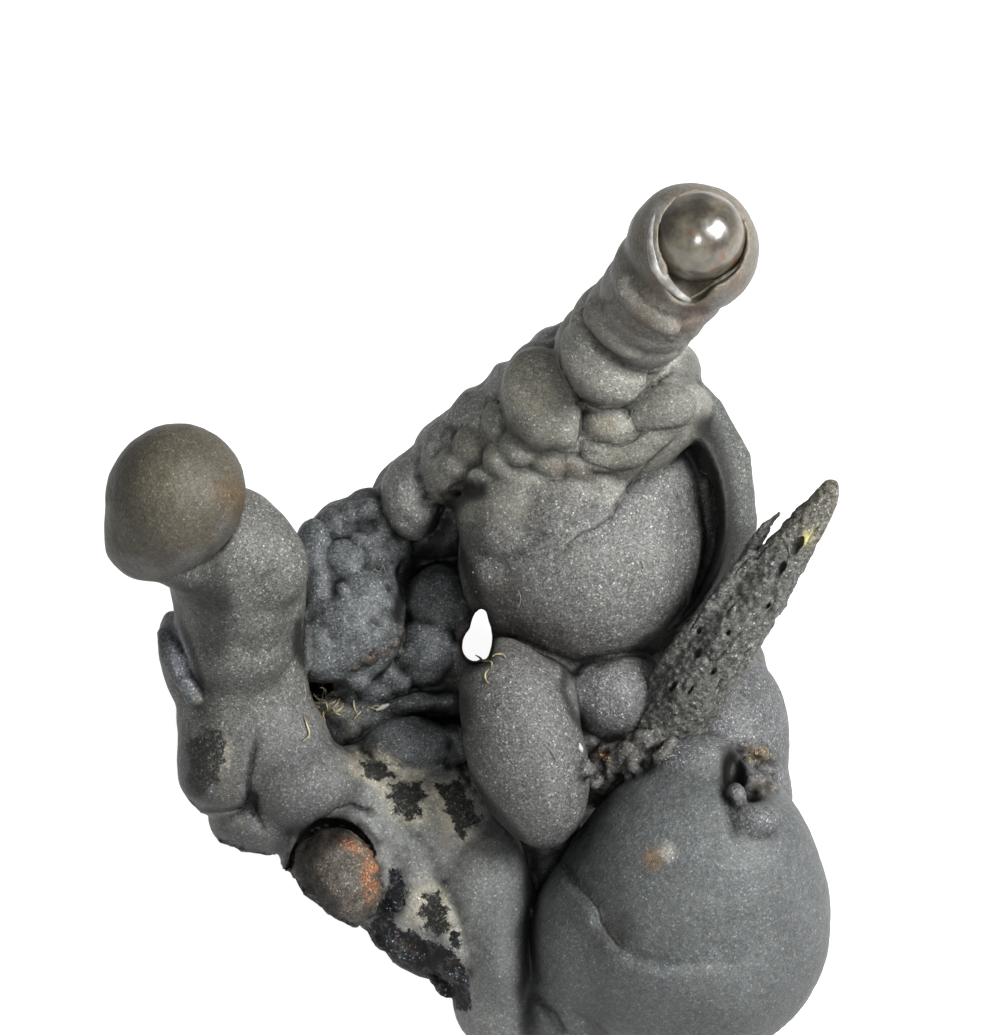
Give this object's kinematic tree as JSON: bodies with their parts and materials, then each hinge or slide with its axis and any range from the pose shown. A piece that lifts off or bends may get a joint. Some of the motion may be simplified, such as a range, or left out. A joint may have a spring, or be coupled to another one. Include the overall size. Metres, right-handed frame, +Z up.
{
  "type": "goethite specimen",
  "caption": "Natural goethite cluster: grown-together domes and globes, a ball-capped column, a ringed horn with an open cup at its end and a rough spike, on a flat-cut base",
  "frame": {"origin": "on the flat-cut base's plane, under the middle of the specimen's outline", "axes": "+X to the right of the pictured face, +Y to the back, +Z up; the pictured face leans back 45 degrees and looks towards -Y and +Z"},
  "size_m": [0.0831, 0.0767, 0.0998],
  "materials": {
    "goethite": "satin, faintly sparkling"
  },
  "bodies": {
    "root": {"goethite": "goethite"}
  },
  "joints": []
}
